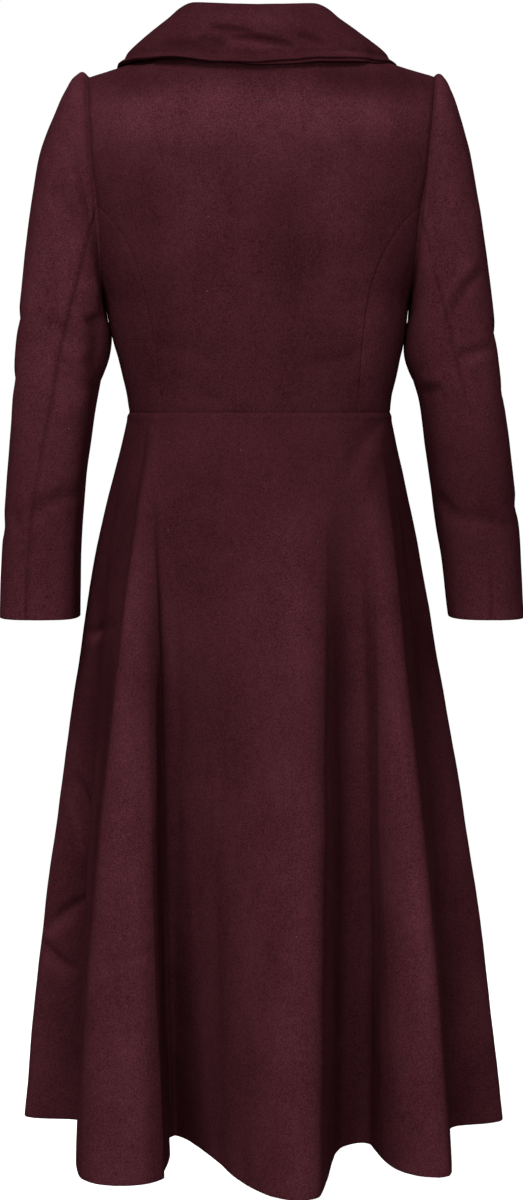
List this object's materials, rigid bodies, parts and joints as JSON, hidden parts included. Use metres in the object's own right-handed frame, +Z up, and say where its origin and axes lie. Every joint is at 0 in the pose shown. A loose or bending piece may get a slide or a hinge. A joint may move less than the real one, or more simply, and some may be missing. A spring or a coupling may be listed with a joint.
{
  "type": "coat",
  "caption": "Long fit-and-flare coat, hollow as worn, with a wide turned-down collar, shaped sleeves, a seamed waist and a flared skirt hanging in deep folds.",
  "frame": {"origin": "between the neck ends of the two shoulder seams, where the wearer's shoulders carry the coat", "axes": "+Z up, +Y to the wearer's front, +X to the wearer's right, which is the picture's right"},
  "size_m": [0.5746, 0.5017, 1.2207],
  "materials": {
    "wool": "dark wine-red brushed wool coating",
    "horn": "dark polished button"
  },
  "bodies": {
    "root": {"bodice_back": "wool", "bodice_side_back_left": "wool", "bodice_side_back_right": "wool", "bodice_front_left": "wool", "bodice_front_right": "wool", "skirt_back": "wool", "skirt_side_left": "wool", "skirt_side_right": "wool", "skirt_front_left": "wool", "skirt_front_right": "wool", "sleeve_upper_left": "wool", "sleeve_upper_right": "wool", "sleeve_under_left": "wool", "sleeve_under_right": "wool", "collar": "wool", "button_1": "horn", "button_2": "horn", "button_3": "horn", "button_4": "horn"}
  },
  "joints": []
}
